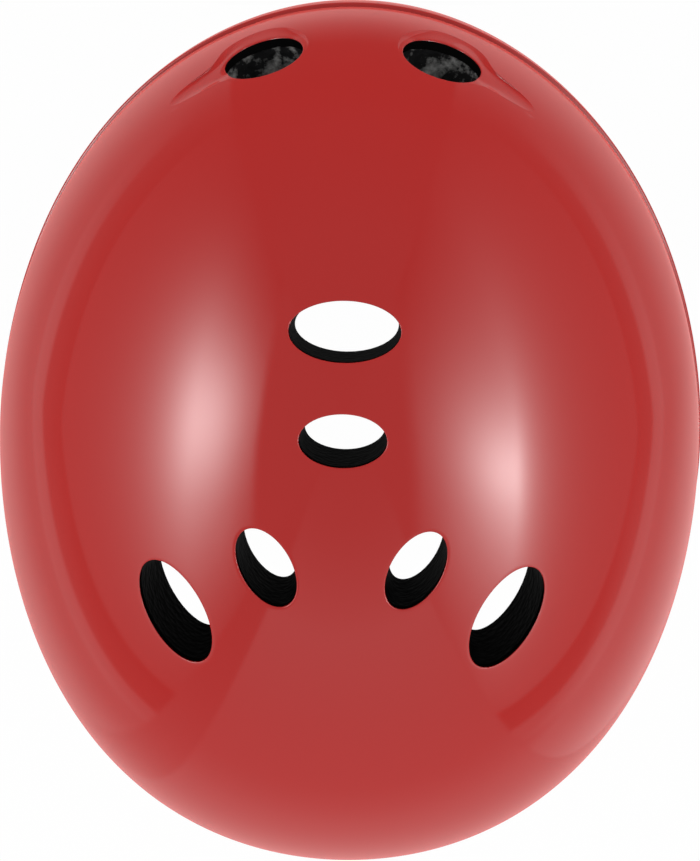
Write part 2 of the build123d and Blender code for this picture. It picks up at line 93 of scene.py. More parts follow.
def dome_parts(points, side, end):
    """Turn of each point round the crown, its distance out as a share of the dome's, and its height."""
    x = points[..., 0] / (half_width - side)
    y = points[..., 1] / (half_length - end)
    turn = np.arctan2(y, x)
    swell = 1 + np.where(y > 0, rear_swell * np.sin(2 * turn) ** 2, 0)
    return turn, np.hypot(x, y) / swell, points[..., 2]


def dome_value(points, side=0.0, end=0.0, crown=0.0):
    """Below zero inside the dome, above zero outside it."""
    turn, across, z = dome_parts(points, side, end)
    rise = np.where(z > 0, np.abs(z) / (crown_height - crown), np.abs(z) / tuck_reach)
    return across**roundness + rise**roundness - 1


def dome_plan(points, side=0.0, end=0.0, crown=0.0):
    """The dome laid out flat: turn and fall of each point, as a place in a plan in metres."""
    turn, across, z = dome_parts(points, side, end)
    upper = np.arctan2(across, np.maximum(z, 0) / (crown_height - crown))
    lower = pi / 2 + np.arctan2(np.maximum(-z, 0) / tuck_reach, across) * tuck_reach / crown_height
    fall = np.where(z > 0, upper, lower)
    return np.stack([fall * half_width * np.cos(turn), fall * half_length * np.sin(turn)], -1)


def plan_point(plan, side=0.0, end=0.0, crown=0.0):
    """The point on the dome at a place in its plan."""
    u, v = plan[..., 0] / half_width, plan[..., 1] / half_length
    return dome_point(np.arctan2(v, u), np.hypot(u, v), side, end, crown)


def eased(share):
    """A share held between 0 and 1 that starts and ends level."""
    share = np.clip(share, 0, 1)
    return share * share * (3 - 2 * share)


def rim_height(y):
    """Height of the rim at a station along the helmet: level at each station, smooth between."""
    height = np.full(np.shape(y), rim_stations[0][1])
    for (y0, z0), (y1, z1) in zip(rim_stations, rim_stations[1:]):
        height = height + (z1 - z0) * eased((y - y0) / (y1 - y0))
    return height


def halve(low, high, shape, steps, holds):
    """Closes in on where a test stops holding, from a low value, where it holds, and a high one."""
    low, high = np.full(shape, low), np.full(shape, high)
    for _ in range(steps):
        middle = (low + high) / 2
        held = holds(middle)
        low, high = np.where(held, middle, low), np.where(held, high, middle)
    return (low + high) / 2


def rim_ring(count, lift, inset):
    """Ring round the dome at a lift above the rim, drawn in by an inset."""
    turn = np.arange(count) * 2 * pi / count

    def above(fall):
        p = dome_point(turn, fall, inset, inset, inset)
        return p[:, 2] > rim_height(p[:, 1]) + lift

    least_fall, most_fall = 1.2, 2.4
    fall = halve(least_fall, most_fall, count, 40, above)
    return dome_point(turn, fall, inset, inset, inset)


def top_vent(x, y, back, out, half_long, half_short, turn):
    """A vent in the crown: its middle on the dome, the line it is cut along, its half sizes and turn."""
    across = np.hypot(x / half_width, y / half_length)
    z = crown_height * (1 - across**roundness) ** (1 / roundness)
    axis = np.array([np.tan(radians(out)), np.tan(radians(back)), 1.0])
    return np.array([x, y, z]), axis / np.linalg.norm(axis), half_long, half_short, radians(turn)


def end_vent(end, x, z, yaw, rise, half_long, half_short, turn):
    """A vent in the front (end -1) or the back (end 1), cut along a line that points out of the dome."""
    across = (1 - (z / crown_height) ** roundness) ** (1 / roundness)
    y = end * half_length * across * (1 - (x / (half_width * across)) ** 2) ** 0.5
    yaw, rise = radians(yaw), radians(rise)
    axis = np.array([np.sin(yaw) * np.cos(rise), end * np.cos(yaw) * np.cos(rise), np.sin(rise)])
    return np.array([x, y, z]), axis, half_long, half_short, radians(turn)


def vent_ring(vent, angle, grow, depth=0.0, inset=0.0):
    """Where a vent's tapered oval, widened by grow, meets the dome, pushed down its line by depth."""
    middle, axis, half_long, half_short, turn = vent
    level = np.array([1.0, 0, 0]) - axis * axis[0]
    level /= np.linalg.norm(level)
    upright = np.cross(axis, level)
    p, q = np.cos(angle), np.sin(angle)

    def place(s):
        a = (half_long + grow + s * vent_slope) * p
        b = (half_short + grow + s * vent_slope) * q
        u, v = a * np.cos(turn) - b * np.sin(turn), a * np.sin(turn) + b * np.cos(turn)
        return middle + u[:, None] * level + v[:, None] * upright + s[:, None] * axis

    deepest, highest = -0.045, 0.03
    s = halve(deepest, highest, angle.shape, 36, lambda s: dome_value(place(s), inset, inset, inset) < 0)
    return place(s) - np.reshape(depth, (-1, 1)) * axis


centre_vents = [
    top_vent(0, -0.0533, -6.6, 0, 0.0169, 0.0092, 0),
    top_vent(0, -0.0210, -3.4, 0, 0.0133, 0.0081, 0),
]
side_vents = [
    top_vent(0.0226, 0.0187, 1.4, 0.3, 0.0132, 0.0078, 118.7),
    top_vent(0.0504, 0.0352, 4.6, 5.4, 0.0174, 0.0093, 118.2),
]
front_vent = end_vent(-1, 0.0278, 0.0383, 14, 22, 0.0127, 0.0114, 0)
low_middle_vent = end_vent(1, 0, 0.016, 0, 8, 0.013, 0.0075, 0)
low_side_vent = end_vent(1, 0.046, 0.016, 22, 8, 0.013, 0.0075, -14)

# Scoop round the front vent, on the wearer's left: how far its edge stands from the hole in
# millimetres, by the angle round the vent in degrees from level, outboard first. The mould
# draws straight down, so the hole lies that much lower in it.
scoop_edge = [(0, 13.1), (4, 16.0), (8, 18.5), (12, 20.0), (16, 20.0), (20, 17.5), (23, 11.0), (26, 5.5),
              (30, 2.9), (40, 1.6), (60, 1.0), (165, 0.9), (180, 1.4), (190, 1.8), (200, 2.5), (210, 3.1),
              (220, 4.2), (230, 5.4), (240, 6.9), (250, 8.9), (260, 11.1), (270, 12.8), (280, 12.6),
              (290, 11.9), (300, 10.7), (310, 9.1), (320, 7.2), (330, 5.8), (340, 5.6), (350, 7.3),
              (355, 9.6), (360, 13.1)]
scoop_depth = 0.0032
scoop_margin = 0.0010
scoop_slope = 0.004
bevel_steepness = 1.35
carve_shares = (0.04, 0.15, 0.3, 0.5, 0.7, 0.85, 1.0)
scoop_skirt = (0.0035, 0.0015, 0.0002, 0)
plain_skirt = (0.005, 0.0034, 0.0022, 0.0012)
lip_radius = 0.0003
ring_count = 96
round_count = 420
lattice_step = 0.0026
inner_coarseness = 2.2
clear_share = 0.62
sharp_angle = 35


class Skin:
    """Collects the rings and faces of a closed wall."""

    def __init__(self):
        self.points, self.faces, self.count = [], [], 0

    def add(self, points):
        self.points.append(points)
        self.count += len(points)
        return np.arange(self.count - len(points), self.count)

    def ring(self, outer, inner, flip=False):
        """Four-sided faces between two rings of the same number of points."""
        a, b = np.roll(outer, -1), np.roll(inner, -1)
        quads = np.stack([outer, inner, b, a] if flip else [outer, a, b, inner], -1)
        self.faces += quads.tolist()

    def sheet(self, border, holes, step, insets, flip=False):
        """Fills the dome between a border ring and hole rings with even triangles."""
        points = np.concatenate(self.points)
        loops = [border] + holes
        plans = [dome_plan(points[loop], *insets) for loop in loops]
        reach = np.abs(plans[0]).max(0)
        rows = np.arange(-reach[1], reach[1], step * 3**0.5 / 2)
        u, v = np.meshgrid(np.arange(-reach[0], reach[0], step), rows)
        u[1::2] += step / 2
        lattice = np.stack([u.ravel(), v.ravel()], -1)
        lattice = lattice[within(lattice, plans)]
        rim = np.concatenate(plans)
        for block in range(0, len(rim), 200):
            gap = np.hypot(*(lattice[:, None] - rim[None, block:block + 200]).transpose(2, 0, 1)).min(1)
            lattice = lattice[gap > step * clear_share]
        ids = np.concatenate(loops + [self.add(plan_point(lattice, *insets))])
        edges, start = [], 0
        for loop in loops:
            n = len(loop)
            edges += [(start + i, start + (i + 1) % n) for i in range(n)]
            start += n
        flat = np.concatenate([rim, lattice])
        made = delaunay_2d_cdt(flat.tolist(), edges, [], 0, 1e-9)
        origin = [group[0] for group in made[3]]
        triangles = np.array(made[2])
        middles = flat[origin][triangles].mean(1)
        triangles = ids[origin][triangles[within(middles, plans)]]
        self.faces += (triangles[:, ::-1] if flip else triangles).tolist()


def inside_loop(points, loop):
    """Which points of a plan lie inside a closed loop."""
    x, y = points[:, 0], points[:, 1]
    inside = np.zeros(len(points), bool)
    for (x0, y0), (x1, y1) in zip(loop, np.roll(loop, -1, 0)):
        crosses = (y0 > y) != (y1 > y)
        if crosses.any():
            inside ^= crosses & (x < (x1 - x0) * (y - y0) / (y1 - y0) + x0)
    return inside


def within(points, plans):
    """Which points of a plan lie inside its first loop and outside the others."""
    inside = inside_loop(points, plans[0])
    for plan in plans[1:]:
        inside &= ~inside_loop(points, plan)
    return inside


def placed(name, data):
    """A new object in the scene, at the origin."""
    piece = bpy.data.objects.new(name, data)
    bpy.context.scene.collection.objects.link(piece)
    return piece


def settled(piece):
    """A plain mesh of an object as its modifiers leave it."""
    return bpy.data.meshes.new_from_object(piece.evaluated_get(bpy.context.evaluated_depsgraph_get()))


def scoop_shape(turns):
    """How far the scoop's edge stands from the hole, and how much lower the hole lies in it."""
    reach = np.interp(np.degrees(turns), *np.transpose(scoop_edge)) / 1000
    reach = sum(np.roll(reach, k) for k in (-1, 0, 1)) / 3
    return reach, scoop_depth * np.clip((reach - scoop_margin) / scoop_slope, 0, 1)


def vent_rings(vent, mirrored, scooped):
    """Rings from the plain dome in to the vent's edge, round its lip and down its wall."""
    turns = np.arange(ring_count) * 2 * pi / ring_count
    sink = np.zeros((ring_count, 3))
    if scooped:
        reach, sink[:, 2] = scoop_shape(turns)
        rings = [vent_ring(vent, turns, reach + margin) for margin in scoop_skirt]
        for share in carve_shares:
            grow = reach * (1 - share) + lip_radius * share
            sunk = np.sin(min(share * bevel_steepness, 1) * pi / 2)
            rings.append(vent_ring(vent, turns, grow) - sink * sunk)
    else:
        rings = [vent_ring(vent, turns, grow) for grow in (*plain_skirt, lip_radius)]
    for step in (22.5, 45, 67.5, 90):
        grow = lip_radius * (1 - np.sin(radians(step)))
        rings.append(vent_ring(vent, turns, grow, lip_radius * (1 - np.cos(radians(step)))) - sink)
    rings.append(vent_ring(vent, turns, 0, 0, shell_wall))
    if mirrored:
        rings = [ring[::-1] * (-1, 1, 1) for ring in rings]
    return rings


all_vents = [(vent, False, False) for vent in centre_vents + [low_middle_vent]]
for vent in side_vents + [low_side_vent]:
    all_vents += [(vent, False, False), (vent, True, False)]
all_vents += [(front_vent, False, True), (front_vent, True, True)]

skin = Skin()
outer_holes, inner_holes, punched = [], [], []
for vent, mirrored, scooped in all_vents:
    rings = [skin.add(ring) for ring in vent_rings(vent, mirrored, scooped)]
    for outer, inner in zip(rings, rings[1:]):
        skin.ring(outer, inner)
    punched += range(len(skin.faces) - ring_count, len(skin.faces))
    outer_holes.append(rings[0])
    inner_holes.append(rings[-1])

# Crease, band and rim, as lifts above the rim and insets from the dome, from the top down. The
# crease's and the band's own steps start from their heights.
band_proud = 0.0012
crease_lift = band_height + 0.0016
crease_steps = [(0.0024, 0), (0.0010, 0), (0.0005, 0.00003), (0.0002, 0.00016), (0, 0.0005),
                (-0.0002, 0.0008)]
band_steps = [(0.0004, 0.0008), (0.0001, 0.0004), (0, -0.0004), (-0.0001, -0.0008), (-0.0004, -0.0011),
              (-0.0009, -band_proud), (-0.0018, -band_proud)]
edge_steps = [(crease_lift + lift, inset) for lift, inset in crease_steps]
edge_steps += [(band_height + lift, inset) for lift, inset in band_steps]
edge_steps += [(lift, -band_proud) for lift in (0.0135, 0.011, 0.0085, 0.006, 0.0035, 0.0014)]
edge_steps += [(0.0007, -0.0011), (0.0002, -0.0008), (0, -0.0003)]
edge_steps += [(0, shell_wall - 0.0006), (0.0002, shell_wall - 0.0002)]
edge_steps += [(0.0008, shell_wall), (0.006, shell_wall)]
edge_rings = [skin.add(rim_ring(round_count, lift, inset)) for lift, inset in edge_steps]
for outer, inner in zip(edge_rings, edge_rings[1:]):
    skin.ring(outer, inner)
skin.sheet(edge_rings[0], outer_holes, lattice_step, (0, 0, 0))
skin.sheet(edge_rings[-1], inner_holes, lattice_step * inner_coarseness, (shell_wall,) * 3, flip=True)
shell_mesh = bpy.data.meshes.new("moulded_shell")
shell_mesh.from_pydata(np.concatenate(skin.points).tolist(), [], skin.faces, shade_flat=False)
# The vents' punched walls take the second material, which is painted near black as painted shade
for i in punched:
    shell_mesh.polygons[i].material_index = 1
shape = bmesh.new()
shape.from_mesh(shell_mesh)
bmesh.ops.remove_doubles(shape, verts=shape.verts, dist=1e-6)
bmesh.ops.recalc_face_normals(shape, faces=shape.faces)
shape.to_mesh(shell_mesh)
shape.free()
shell = placed("moulded_shell", shell_mesh)


def material(name, colour, roughness, **sockets):
    """A plain Principled material and its node tree."""
    made = bpy.data.materials.new(name)
    made.use_nodes = True
    shader = made.node_tree.nodes["Principled BSDF"]
    shader.inputs["Base Color"].default_value = (*colour, 1)
    shader.inputs["Roughness"].default_value = roughness
    for socket, value in sockets.items():
        shader.inputs[socket.replace("_", " ")].default_value = value
    return made, made.node_tree, shader


def tree_noise(kind, scale, **sockets):
    """One noise texture of the present tree, on object coordinates."""
    node = tree.nodes.new(f"ShaderNodeTex{kind}")
    node.inputs["Scale"].default_value = scale
    for socket, value in sockets.items():
        node.inputs[socket].default_value = value
    place = tree.nodes.new("ShaderNodeTexCoord")
    tree.links.new(place.outputs["Object"], node.inputs["Vector"])
    return node.outputs


def tree_range(value, start, end, least=0, most=1):
    """Goes from the least level to the most as a value goes from start to end."""
    node = tree.nodes.new("ShaderNodeMapRange")
    for socket, level in zip(("From Min", "From Max", "To Min", "To Max"), (start, end, least, most)):
        node.inputs[socket].default_value = level
    tree.links.new(value, node.inputs["Value"])
    return node.outputs[0]


def add_bump(height, strength, distance):
    """Feeds a height into the present shader's normal through a bump."""
    bump = tree.nodes.new("ShaderNodeBump")
    bump.inputs["Strength"].default_value = strength
    bump.inputs["Distance"].default_value = distance
    tree.links.new(height, bump.inputs["Height"])
    tree.links.new(bump.outputs["Normal"], shader.inputs["Normal"])


# High-gloss red with a faint orange peel, and the least spread in its polish
gloss_red, tree, shader = material("gloss_red_abs", (0.374, 0.0120, 0.0097), 0.06, IOR=1.5, Sheen_Weight=0.9,
                                   Sheen_Roughness=0.3, Sheen_Tint=(1, 0.16, 0.14, 1))
add_bump(tree_noise("Noise", 180, Detail=1)["Fac"], 0.04, 0.0001)
rubbed = tree_noise("Noise", 22)["Fac"]
tree.links.new(tree_range(rubbed, 0, 1, 0.05, 0.075), shader.inputs["Roughness"])
# The punched walls of the vents, painted near black as painted shade of the holes' depths, like the foam seen
# through them
vent_shade_black = (0.0015, 0.0015, 0.0015)
shaded_vent_wall, tree, shader = material("painted_shade_vent_wall", vent_shade_black, 0.8, Specular_IOR_Level=0.0)
shell.data.materials.append(gloss_red)
shell.data.materials.append(shaded_vent_wall)

# Seats for the four rivet heads, cut into the band square to its surface, two on each side
rivet_places = [(-0.05495, -0.02364), (0.06025, -0.03765)]
seat_radius = 0.00565
seat_depth = 0.00175
seat_overrun = 0.003


def side_reach(y, z, inset):
    """Distance from the middle plane to the dome's side, at a place in the side view."""
    y, z = np.broadcast_arrays(np.asarray(y, float), z)
    past_side = half_width + 0.01
    return halve(0.0, past_side, y.shape, 34,
                 lambda x: dome_value(np.stack([x, y, z], -1), inset, inset, inset) < 0)


def side_normal(y, z, inset):
    """Outward direction of the dome's side at a place in the side view."""
    step = 0.0005
    run = side_reach(y + step, z, inset) - side_reach(y - step, z, inset)
    climb = side_reach(y, z + step, inset) - side_reach(y, z - step, inset)
    return Vector((1, -float(run) / (2 * step), -float(climb) / (2 * step))).normalized()


cutters = bmesh.new()
for y, z in rivet_places:
    centre = Vector((float(side_reach(y, z, -band_proud)), y, z))
    outward = side_normal(y, z, -band_proud)
    middle = centre + outward * (seat_overrun - seat_depth) / 2
    for mirror in (Vector((1, 1, 1)), Vector((-1, 1, 1))):
        turned = (outward * mirror).to_track_quat("Z", "Y").to_matrix().to_4x4()
        spot = Matrix.Translation(middle * mirror)
        bmesh.ops.create_cone(cutters, cap_ends=True, segments=64, radius1=seat_radius, radius2=seat_radius,
                              depth=seat_depth + seat_overrun, matrix=spot @ turned)
cutter_mesh = bpy.data.meshes.new("seat_cutters")
cutters.to_mesh(cutter_mesh)
cutters.free()
seat_cutters = placed("seat_cutters", cutter_mesh)
cut = shell.modifiers.new("rivet_seats", "BOOLEAN")
cut.object = seat_cutters
cut.solver = "EXACT"
shell.data = settled(shell)
shell.modifiers.clear()
shell.data.set_sharp_from_angle(angle=radians(sharp_angle))
bpy.data.meshes.remove(shell_mesh)
bpy.data.objects.remove(seat_cutters)
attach(shell, "helmet")
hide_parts("outer_shell")

# Liner: one body of black expanded-polystyrene beads, moulded to the shell and cut by the same vents. The
# beads are a millimetre or two across. Its upper and outward faces, seen through the vents, are painted near
# black as painted shade, and at the front, above the rim, it has paler grey blotches.
black_foam, tree, shader = material("black_bead_foam", vent_shade_black, 0.6, Specular_IOR_Level=0.01)
pale_front_beads = (0.36, 0.36, 0.35, 1)
grey_beads = (0.028, 0.028, 0.029, 1)
painted_shade_beads = (*vent_shade_black, 1)
beads = tree_noise("Voronoi", 420)
blotches = tree_noise("Noise", 120, Detail=4, Roughness=0.7)["Fac"]


def tree_math(operation, *values, clamp=False):
    """One Math node of the present tree, from sockets or numbers."""
    node = tree.nodes.new("ShaderNodeMath")
    node.operation = operation
    node.use_clamp = clamp
    for socket, value in zip(node.inputs, values):
        if isinstance(value, (int, float)):
            socket.default_value = value
        else:
            tree.links.new(value, socket)
    return node.outputs[0]


def times(first, second):
    """The product of two values of the present tree."""
    return tree_math("MULTIPLY", first, second)


def plus(first, second):
    """The sum of two values of the present tree."""
    return tree_math("ADD", first, second)


def minus(first, second):
    """The first less the second."""
    return tree_math("SUBTRACT", first, second)


def tree_split(vector):
    """The parts of a vector."""
    node = tree.nodes.new("ShaderNodeSeparateXYZ")
    tree.links.new(vector, node.inputs[0])
    return node.outputs


def tree_tint(share, below, above):
    """One colour where share is 0 and another where it is 1, from sockets or colours."""
    node = tree.nodes.new("ShaderNodeMix")
    node.data_type = "RGBA"
    tree.links.new(share, node.inputs["Factor"])
    for socket, value in ((node.inputs["A"], below), (node.inputs["B"], above)):
        if isinstance(value, tuple):
            socket.default_value = value
        else:
            tree.links.new(value, socket)
    return node.outputs["Result"]


place = tree_split(tree.nodes.new("ShaderNodeTexCoord").outputs["Object"])
facing = tree_split(tree.nodes.new("ShaderNodeNewGeometry").outputs["Normal"])
frontward = tree_range(place["Y"], -0.075, -0.09)
above_rim = tree_range(place["Z"], 0.0, 0.02)
# Painted shade: the foam is near black on its upper and outward faces, seen through the vents. Low down, and
# on the faces that turn down to the head, it shows its own dark grey.
inward = tree_math("MAXIMUM", tree_range(place["Z"], 0.045, 0.02), tree_range(facing["Z"], -0.2, -0.4))
bead_tone = plus(times(beads["Color"], 0.35), 0.4)
shade = tree_tint(times(inward, bead_tone), painted_shade_beads, grey_beads)
# Paler grey blotches of beads at the front, above the rim
front_blotches = tree_range(blotches, 0.47, 0.68)
paler_front = times(front_blotches, times(frontward, above_rim))
tree.links.new(tree_tint(paler_front, shade, pale_front_beads), shader.inputs["Base Color"])
add_bump(beads["Distance"], 0.5, 0.0007)


def finish_node(name, made):
    """Gives a CAD piece its finish."""
    for material_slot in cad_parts[name].material_slots:
        material_slot.material = made


finish_node("eps_liner", black_foam)

# Rivets and washers: satin black nylon rivets pressed flush into the band, which hold the four
# strap ends, and the flat washers behind them.
rivet_black, tree, shader = material("satin_black_nylon", (0.018, 0.018, 0.018), 0.34, IOR=1.53)
add_bump(tree_noise("Noise", 900)["Fac"], 0.15, 0.0001)
finish_node("strap_rivets", rivet_black)
finish_node("rivet_washers", rivet_black)

# Hook patches: round patches of black woven hook tape, glued to the liner behind each pad. The
# pads' fabric clings to them, and the pads pull off for washing.
hook_black, tree, shader = material("black_hook_tape", (0.03, 0.03, 0.03), 0.9, Specular_IOR_Level=0.2)
add_bump(tree_noise("Voronoi", 1100, Randomness=0.25)["Distance"], 0.8, 0.0004)
finish_node("pad_hook_patches", hook_black)

# Comfort pads: seven foam pads in brushed knit, each cut with rounded ends, welded flat round its
# edge and crowned inside it. They sit on the hook patches and follow the liner's inner face.
pad_side, pad_end, pad_crown = 0.0249, 0.0269, 0.0309
pad_lift = 0.0016
pad_corner_share = 0.42
pad_step = 0.0022
swell_cap = 0.0011
swell_frames = 20
weld_offset = 0.0013
weld_height = 0.0010
weld_width = 0.0028
channel_half = 0.0016
channel_floor = 0.0026
channel_hold = 0.4
section_gap = 0.0010
middle_rise = 0.0001
face_least = 0.0010
back_steps = 3
double_reach = 0.00002
cloth_settings = {"quality": 6, "mass": 0.05, "tension_stiffness": 8, "compression_stiffness": 8,
                  "shear_stiffness": 4, "bending_stiffness": 0.2, "shrink_min": -0.04, "use_pressure": True,
                  "uniform_pressure_force": 4, "vertex_group_mass": "pins"}
# The pad's section from its middle out: how far in from the edge, and how thick there
pad_section = [(0.0120, 0.0066), (0.0095, 0.0065), (0.0072, 0.0062), (0.0055, 0.0056), (0.0043, 0.0047),
               (0.0034, 0.0035), (0.0029, 0.0023), (0.0026, 0.0012), (0.0022, 0.0009), (0.0013, 0.0009),
               (0.0004, 0.0008), (0.0001, 0.0006), (0, 0.0003), (0.0002, 0), (0.0012, 0), (0.0045, 0),
               (0.0085, 0)]
# Each pad: the way it is cast onto the liner, its middle, its size, and where channels cross it
pad_places = {
    "brow": ("front", (0, -0.008), (0.132, 0.030), (-0.024, 0.024)),
    "nape": ("back", (0, -0.035), (0.104, 0.026), (-0.017, 0.017)),
    "left_side": ("left", (-0.006, -0.003), (0.062, 0.030), (0,)),
    "right_side": ("right", (-0.006, -0.003), (0.062, 0.030), (0,)),
    "left_crown": ("up", (0.041, -0.028), (0.030, 0.060), ()),
    "right_crown": ("up", (-0.041, -0.028), (0.030, 0.060), ()),
    "rear_crown": ("up", (0, 0.062), (0.048, 0.030), ()),
}
# For each way of casting: the pad's long way, its short way and the way it is cast
pad_casts = {
    "front": ((1, 0, 0), (0, 0, 1), (0, -1, 0)),
    "back": ((-1, 0, 0), (0, 0, 1), (0, 1, 0)),
    "left": ((0, 1, 0), (0, 0, 1), (1, 0, 0)),
    "right": ((0, 1, 0), (0, 0, 1), (-1, 0, 0)),
    "up": ((1, 0, 0), (0, 1, 0), (0, 0, 1)),
}


def pad_outline(size, inset):
    """Points of a pad's rounded outline, drawn in by an inset: always the same number."""
    full = pad_corner_share * min(size)
    a, b = size[0] / 2 - inset, size[1] / 2 - inset
    r = max(full - inset, 0)
    corners = np.array([(a - r, b - r), (r - a, b - r), (r - a, r - b), (a - r, r - b)])
    ring = []
    for i, corner in enumerate(corners):
        arc = np.radians(90 * i + np.linspace(0, 90, 8))
        arc = corner + r * np.stack([np.cos(arc), np.sin(arc)], -1)
        count = int(round((size[i % 2] - 2 * full) / pad_step))
        share = np.linspace(0, 1, count + 2)[1:-1, None]
        ring += [arc, arc[-1] + (corners[(i + 1) % 4] - corner) * share]
    return np.concatenate(ring)


def pad_point(name, flat, thick):
    """Where a place in a pad's flat outline lies, at a thickness off its back."""
    cast, centre = pad_places[name][:2]
    wide, tall, away = (np.array(way, float) for way in pad_casts[cast])
    base = (flat[:, :1] + centre[0]) * wide + (flat[:, 1:] + centre[1]) * tall
    lift = pad_lift + thick
    insets = (pad_side + lift, pad_end + lift, pad_crown + lift)
    past_dome = half_length + 0.003
    reach = halve(0.0, past_dome, len(flat), 34,
                  lambda reach: dome_value(base + reach[:, None] * away, *insets) < 0)
    return base + reach[:, None] * away


def band_faces(rows, around):
    """Four-sided faces between rows of points that each run round a closed ring."""
    faces = []
    for i in range(rows - 1):
        for j in range(around):
            k = (j + 1) % around
            faces.append((i * around + j, i * around + k, (i + 1) * around + k, (i + 1) * around + j))
    return faces


def pad_mesh(name):
    """The closed, still unpadded shape of one pad, with a map of its flat outline."""
    size, channels = pad_places[name][2:]
    middle = min(size) / 2
    section = [(inset, thick) for inset, thick in pad_section if inset < middle - section_gap]
    section = [(middle, section[0][1] + middle_rise)] + section + [(middle, 0)]
    rings, flats, held = [], [], []
    for i, (inset, thick) in enumerate(section):
        flat = pad_outline(size, inset)
        heights = np.full(len(flat), float(thick))
        on_back = i >= len(pad_section) - back_steps and thick == 0
        pinned = np.full(len(flat), inset < weld_width or on_back)
        if thick > face_least:
            for channel in channels:
                dip = np.exp(-(((flat[:, 0] - channel) / channel_half) ** 2))
                heights = heights * (1 - dip) + np.minimum(heights, channel_floor) * dip
                pinned |= dip > channel_hold
        rings.append(pad_point(name, flat, heights))
        flats.append(flat)
        held.append(pinned)
    shape = bmesh.new()
    flat_map = shape.loops.layers.uv.new("knit")
    pin_mark = shape.verts.layers.float.new("pinned")
    spots = [shape.verts.new(point) for point in np.concatenate(rings).tolist()]
    for spot, mark in zip(spots, np.concatenate(held)):
        spot[pin_mark] = float(mark)
    flat_places = np.concatenate(flats).tolist()
    for corners in band_faces(len(rings), len(rings[0])):
        face = shape.faces.new([spots[i] for i in corners])
        face.smooth = True
        for loop, i in zip(face.loops, corners):
            loop[flat_map].uv = flat_places[i]
    bmesh.ops.remove_doubles(shape, verts=shape.verts, dist=double_reach)
    bmesh.ops.dissolve_degenerate(shape, edges=shape.edges, dist=double_reach)
    bmesh.ops.recalc_face_normals(shape, faces=shape.faces)
    mesh = bpy.data.meshes.new(f"{name}_comfort_pad")
    marks = [spot[pin_mark] for spot in shape.verts]
    shape.to_mesh(mesh)
    shape.free()
    piece = placed(f"{name}_comfort_pad", mesh)
    pins = piece.vertex_groups.new(name="pins")
    pins.add([i for i, mark in enumerate(marks) if mark > 0.5], 1.0, "REPLACE")
    return piece


def swell(piece):
    """Fills a pad by simulation: its welded edge and back are held, its face puffs up a little."""
    start = np.array([vertex.co[:] for vertex in piece.data.vertices])
    fill = piece.modifiers.new("fill", "CLOTH")
    for setting, value in cloth_settings.items():
        setattr(fill.settings, setting, value)
    fill.settings.effector_weights.gravity = 0
    fill.point_cache.frame_end = swell_frames
    for number in range(1, swell_frames + 1):
        bpy.context.scene.frame_set(number)
    moved = settled(piece)
    end = np.array([vertex.co[:] for vertex in moved.vertices])
    bpy.data.meshes.remove(moved)
    piece.modifiers.remove(fill)
    bpy.context.scene.frame_set(1)
    shift = end - start
    length = np.linalg.norm(shift, axis=1, keepdims=True)
    shift *= swell_cap * np.tanh(length / swell_cap) / np.maximum(length, 1e-9)
    piece.data.vertices.foreach_set("co", (start + shift).ravel())


def tree_map(name):
    """The two parts of a UV map."""
    flat = tree.nodes.new("ShaderNodeUVMap")
    flat.uv_map = name
    return tree_split(flat.outputs["UV"])


def tree_wave(value, pitch):
    """A sine wave of a pitch."""
    return tree_math("SINE", times(value, 2 * pi / pitch))


brushed_knit, tree, shader = material("black_brushed_knit", (0.02, 0.02, 0.022), 0.95,
                                      Specular_IOR_Level=0.15, Sheen_Weight=0.25, Sheen_Roughness=0.6,
                                      Sheen_Tint=(0.5, 0.5, 0.55, 1))
knit_map = tree_map("knit")
course_pitch, wale_pitch = 0.0011, 0.0008
courses = plus(times(tree_wave(knit_map["Y"], course_pitch), 0.4), 1)
loops = times(tree_math("ABSOLUTE", tree_wave(knit_map["X"], wale_pitch)), courses)
fuzz = tree_noise("Noise", 2400, Detail=3)["Fac"]
nap = tree_noise("Noise", 160, Detail=2)["Fac"]
add_bump(plus(times(loops, 0.5), fuzz), 0.6, 0.0003)
shade = tree_tint(nap, (0.014, 0.014, 0.015, 1), (0.032, 0.032, 0.035, 1))
tree.links.new(shade, shader.inputs["Base Color"])

for name in pad_places:
    comfort_pad = pad_mesh(name)
    swell(comfort_pad)
    smooth = comfort_pad.modifiers.new("smooth", "SUBSURF")
    smooth.levels = smooth.render_levels = 1
    rounded = settled(comfort_pad)
    comfort_pad.modifiers.clear()
    comfort_pad.data = rounded
    comfort_pad.vertex_groups.clear()
    comfort_pad.data.materials.append(brushed_knit)
    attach(comfort_pad, "helmet")
    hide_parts(f"{name}_pad")

# Stitching: bonded black thread, made by one tree that lays stitches end to end along a path. It
# closes the welded edge of each pad here, and sews the webbing further on.
thread_black, tree, shader = material("bonded_black_thread", (0.03, 0.03, 0.032), 0.5, Specular_IOR_Level=0.4)
add_bump(tree_noise("Noise", 4000)["Fac"], 0.3, 0.0001)

stitch_tree = bpy.data.node_groups.new("laid_stitches", "GeometryNodeTree")
stitch_tree.interface.new_socket("Path", in_out="INPUT", socket_type="NodeSocketGeometry")
stitch_inputs = [stitch_tree.interface.new_socket(name, in_out="INPUT", socket_type="NodeSocketFloat")
                 for name in ("Pitch", "Stitch Length", "Thread Radius")]
stitch_tree.interface.new_socket("Stitches", in_out="OUTPUT", socket_type="NodeSocketGeometry")


def stitch_node(kind, **inputs):
    """One node of the stitch tree, its inputs set by value or linked from sockets."""
    node = stitch_tree.nodes.new(kind)
    for socket, value in inputs.items():
        socket = node.inputs[socket.replace("_", " ")]
        if isinstance(value, bpy.types.NodeSocket):
            stitch_tree.links.new(value, socket)
        else:
            socket.default_value = value
    return node


